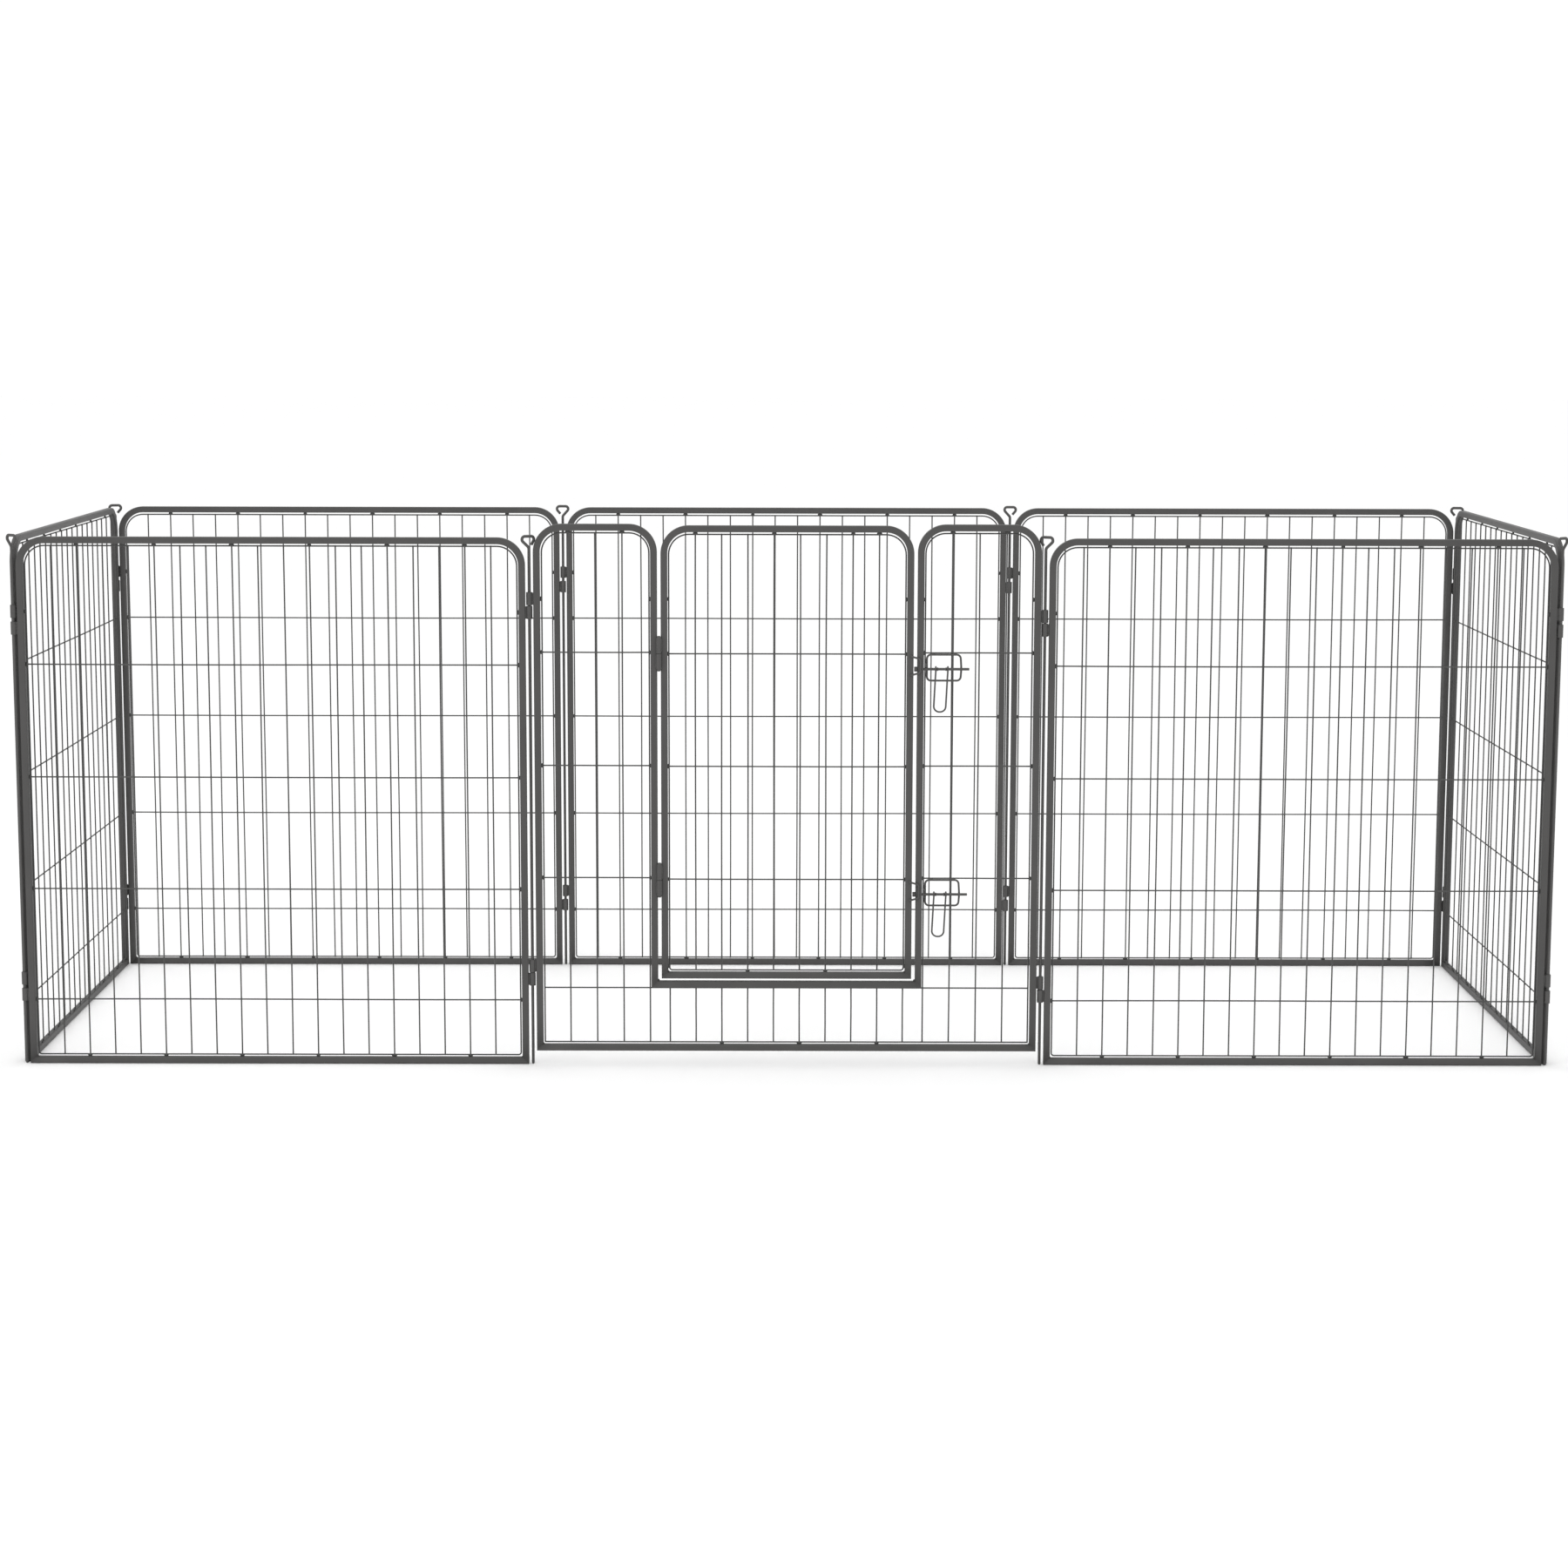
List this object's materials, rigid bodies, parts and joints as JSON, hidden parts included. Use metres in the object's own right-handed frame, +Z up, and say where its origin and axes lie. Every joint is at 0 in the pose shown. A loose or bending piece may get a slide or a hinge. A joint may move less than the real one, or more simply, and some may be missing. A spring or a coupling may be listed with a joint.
{
  "type": "folding pet playpen",
  "caption": "Folding metal pet playpen of pinned square-tube panels with welded wire infill, one panel with a hinged door and sliding bolts",
  "frame": {"origin": "on the floor at the middle of the pen's rectangle", "axes": "+X to the right seen from the door side, +Y from the door side to the far row, +Z up"},
  "size_m": [2.3328, 0.7868, 0.8205],
  "materials": {
    "frame_coat": "dark grey powder coat, fine texture, semi-matt",
    "wire_coat": "dark grey powder coat on thin wire",
    "hardware_coat": "dark grey powder coat on rings, pins, hinges and bolts"
  },
  "bodies": {
    "door_panel": {"door_panel_frame": "frame_coat", "door_panel_left_mesh": "wire_coat", "door_panel_right_mesh": "wire_coat", "door_panel_sill_mesh": "wire_coat", "door_panel_hinge_barrels": "hardware_coat", "door_hinge_posts": "hardware_coat", "latch_bushes": "hardware_coat", "upper_latch_loop": "hardware_coat", "lower_latch_loop": "hardware_coat"},
    "door": {"door_frame": "frame_coat", "door_mesh": "wire_coat", "door_hinge_sleeves": "hardware_coat", "door_keepers": "hardware_coat"},
    "upper_bolt": {"upper_bolt": "hardware_coat"},
    "lower_bolt": {"lower_bolt": "hardware_coat"},
    "upper_bolt_grip": {"upper_bolt_grip": "hardware_coat"},
    "lower_bolt_grip": {"lower_bolt_grip": "hardware_coat"},
    "front_left": {"front_left_frame": "frame_coat", "front_left_mesh": "wire_coat", "front_left_hinge_barrels": "hardware_coat"},
    "front_right": {"front_right_frame": "frame_coat", "front_right_mesh": "wire_coat", "front_right_hinge_barrels": "hardware_coat"},
    "left_side": {"left_side_frame": "frame_coat", "left_side_mesh": "wire_coat", "left_side_hinge_barrels": "hardware_coat"},
    "right_side": {"right_side_frame": "frame_coat", "right_side_mesh": "wire_coat", "right_side_hinge_barrels": "hardware_coat"},
    "back_left": {"back_left_frame": "frame_coat", "back_left_mesh": "wire_coat", "back_left_hinge_barrels": "hardware_coat"},
    "back_center": {"back_center_frame": "frame_coat", "back_center_mesh": "wire_coat", "back_center_hinge_barrels": "hardware_coat"},
    "back_right": {"back_right_frame": "frame_coat", "back_right_mesh": "wire_coat", "back_right_hinge_barrels": "hardware_coat"},
    "hinge_pin_front_left_corner": {"hinge_pin_front_left_corner": "hardware_coat"},
    "hinge_pin_front_left": {"hinge_pin_front_left": "hardware_coat"},
    "hinge_pin_front_right": {"hinge_pin_front_right": "hardware_coat"},
    "hinge_pin_front_right_corner": {"hinge_pin_front_right_corner": "hardware_coat"},
    "hinge_pin_back_left_corner": {"hinge_pin_back_left_corner": "hardware_coat"},
    "hinge_pin_back_left": {"hinge_pin_back_left": "hardware_coat"},
    "hinge_pin_back_right": {"hinge_pin_back_right": "hardware_coat"},
    "hinge_pin_back_right_corner": {"hinge_pin_back_right_corner": "hardware_coat"}
  },
  "joints": [
    {"name": "front_left_fold", "type": "hinge", "parent": "door_panel", "child": "front_left", "pos_m": [-0.385, -0.385, 0.4], "axis": [0, 0, -1], "range_deg": [-5, 95]},
    {"name": "left_side_fold", "type": "hinge", "parent": "front_left", "child": "left_side", "pos_m": [-1.155, -0.385, 0.4], "axis": [0, 0, 1], "range_deg": [-5, 95]},
    {"name": "back_left_fold", "type": "hinge", "parent": "left_side", "child": "back_left", "pos_m": [-1.155, 0.385, 0.4], "axis": [0, 0, 1], "range_deg": [-5, 95]},
    {"name": "back_center_fold", "type": "hinge", "parent": "back_left", "child": "back_center", "pos_m": [-0.385, 0.385, 0.4], "axis": [0, 0, -1], "range_deg": [-5, 95]},
    {"name": "front_right_fold", "type": "hinge", "parent": "door_panel", "child": "front_right", "pos_m": [0.385, -0.385, 0.4], "axis": [0, 0, 1], "range_deg": [-5, 95]},
    {"name": "right_side_fold", "type": "hinge", "parent": "front_right", "child": "right_side", "pos_m": [1.155, -0.385, 0.4], "axis": [0, 0, -1], "range_deg": [-5, 95]},
    {"name": "back_right_fold", "type": "hinge", "parent": "right_side", "child": "back_right", "pos_m": [1.155, 0.385, 0.4], "axis": [0, 0, -1], "range_deg": [-5, 95]},
    {"name": "door_swing", "type": "hinge", "parent": "door_panel", "child": "door", "pos_m": [-0.19175, -0.3928, 0.45], "axis": [0, 0, -1], "range_deg": [0, 170]},
    {"name": "upper_bolt_slide", "type": "slide", "parent": "door_panel", "child": "upper_bolt", "axis": [1, 0, 0], "range_m": [-0.008, 0.011]},
    {"name": "upper_grip_swing", "type": "hinge", "parent": "upper_bolt", "child": "upper_bolt_grip", "pos_m": [0.2314, -0.3872, 0.6045], "axis": [-1, 0, 0], "range_deg": [0, 160]},
    {"name": "lower_bolt_slide", "type": "slide", "parent": "door_panel", "child": "lower_bolt", "axis": [1, 0, 0], "range_m": [-0.008, 0.011]},
    {"name": "lower_grip_swing", "type": "hinge", "parent": "lower_bolt", "child": "lower_bolt_grip", "pos_m": [0.2314, -0.3872, 0.2625], "axis": [-1, 0, 0], "range_deg": [0, 160]},
    {"name": "hinge_pin_front_left_corner_lift", "type": "slide", "parent": "front_left", "child": "hinge_pin_front_left_corner", "axis": [0, 0, 1], "range_m": [0, 0.85]},
    {"name": "hinge_pin_front_left_lift", "type": "slide", "parent": "door_panel", "child": "hinge_pin_front_left", "axis": [0, 0, 1], "range_m": [0, 0.85]},
    {"name": "hinge_pin_front_right_lift", "type": "slide", "parent": "door_panel", "child": "hinge_pin_front_right", "axis": [0, 0, 1], "range_m": [0, 0.85]},
    {"name": "hinge_pin_front_right_corner_lift", "type": "slide", "parent": "front_right", "child": "hinge_pin_front_right_corner", "axis": [0, 0, 1], "range_m": [0, 0.85]},
    {"name": "hinge_pin_back_left_corner_lift", "type": "slide", "parent": "left_side", "child": "hinge_pin_back_left_corner", "axis": [0, 0, 1], "range_m": [0, 0.85]},
    {"name": "hinge_pin_back_left_lift", "type": "slide", "parent": "back_left", "child": "hinge_pin_back_left", "axis": [0, 0, 1], "range_m": [0, 0.85]},
    {"name": "hinge_pin_back_right_lift", "type": "slide", "parent": "back_right", "child": "hinge_pin_back_right", "axis": [0, 0, 1], "range_m": [0, 0.85]},
    {"name": "hinge_pin_back_right_corner_lift", "type": "slide", "parent": "right_side", "child": "hinge_pin_back_right_corner", "axis": [0, 0, 1], "range_m": [0, 0.85]}
  ],
  "couplings": [
    {"joint": "left_side_fold", "follows": "front_left_fold", "ratio": 1},
    {"joint": "back_left_fold", "follows": "front_left_fold", "ratio": 1},
    {"joint": "back_center_fold", "follows": "front_left_fold", "ratio": 1},
    {"joint": "front_right_fold", "follows": "front_left_fold", "ratio": 1},
    {"joint": "right_side_fold", "follows": "front_left_fold", "ratio": 1},
    {"joint": "back_right_fold", "follows": "front_left_fold", "ratio": 1}
  ]
}
